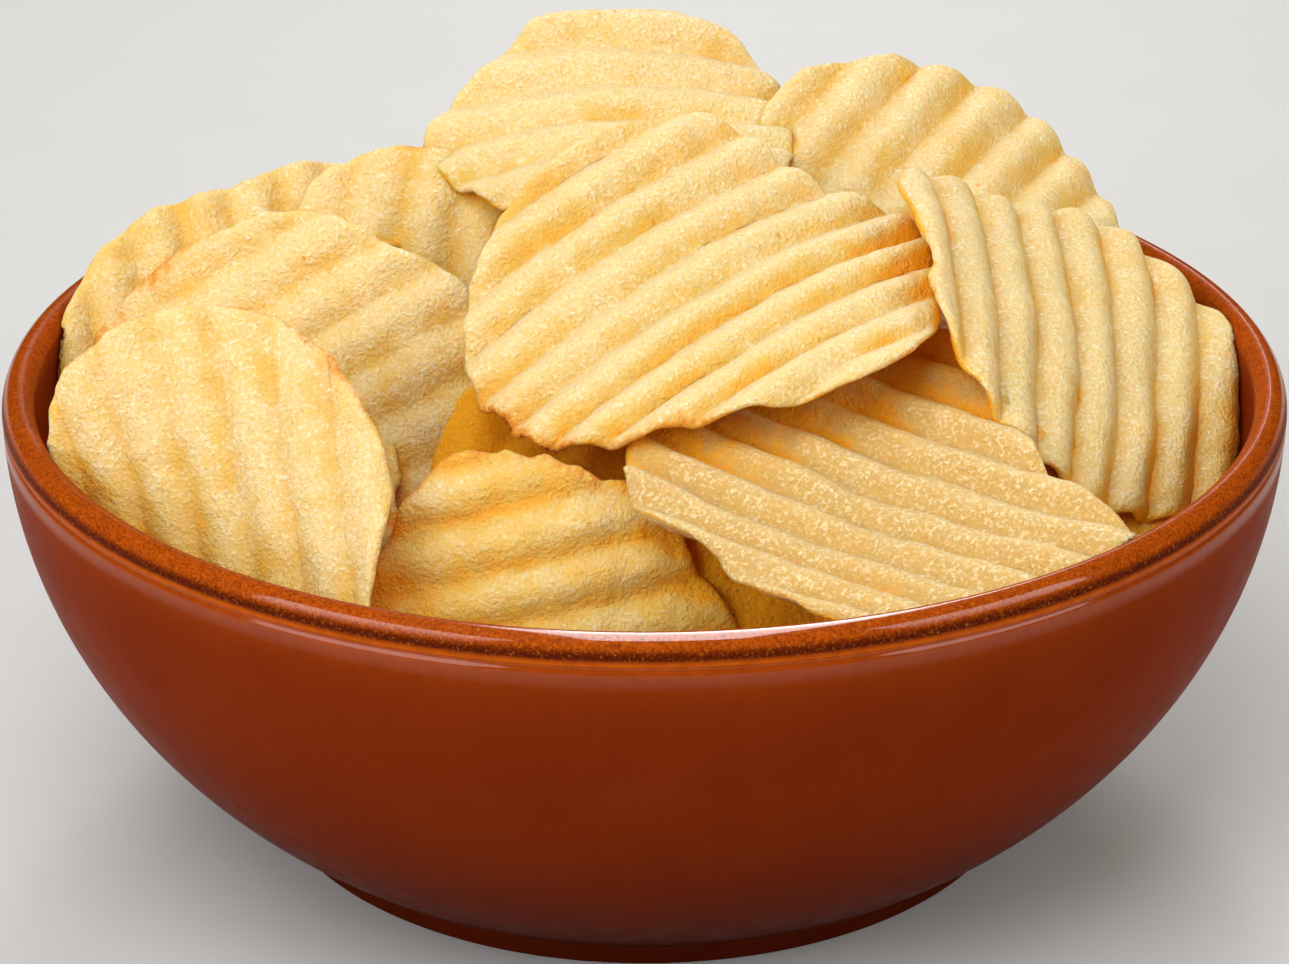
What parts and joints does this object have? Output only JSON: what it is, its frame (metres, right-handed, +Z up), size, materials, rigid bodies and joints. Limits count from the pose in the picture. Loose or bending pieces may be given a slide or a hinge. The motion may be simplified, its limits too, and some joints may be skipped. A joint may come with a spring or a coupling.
{
  "type": "bowl of crisps",
  "caption": "Round glazed bowl on a low foot ring, heaped with ridged fried potato crisps.",
  "frame": {"origin": "middle of the foot ring's underside, where the bowl stands", "axes": "+Z up along the bowl's axis; -Y is the side that the crisps in front face, which the camera saw; +X to its right"},
  "size_m": [0.16, 0.16, 0.0895],
  "materials": {
    "bowl_glaze": "glossy speckled orange-brown glaze",
    "crisps_fried": "dry, ridged and golden, browned at the edges"
  },
  "bodies": {
    "root": {"bowl": "bowl_glaze", "crisps": "crisps_fried"}
  },
  "joints": []
}
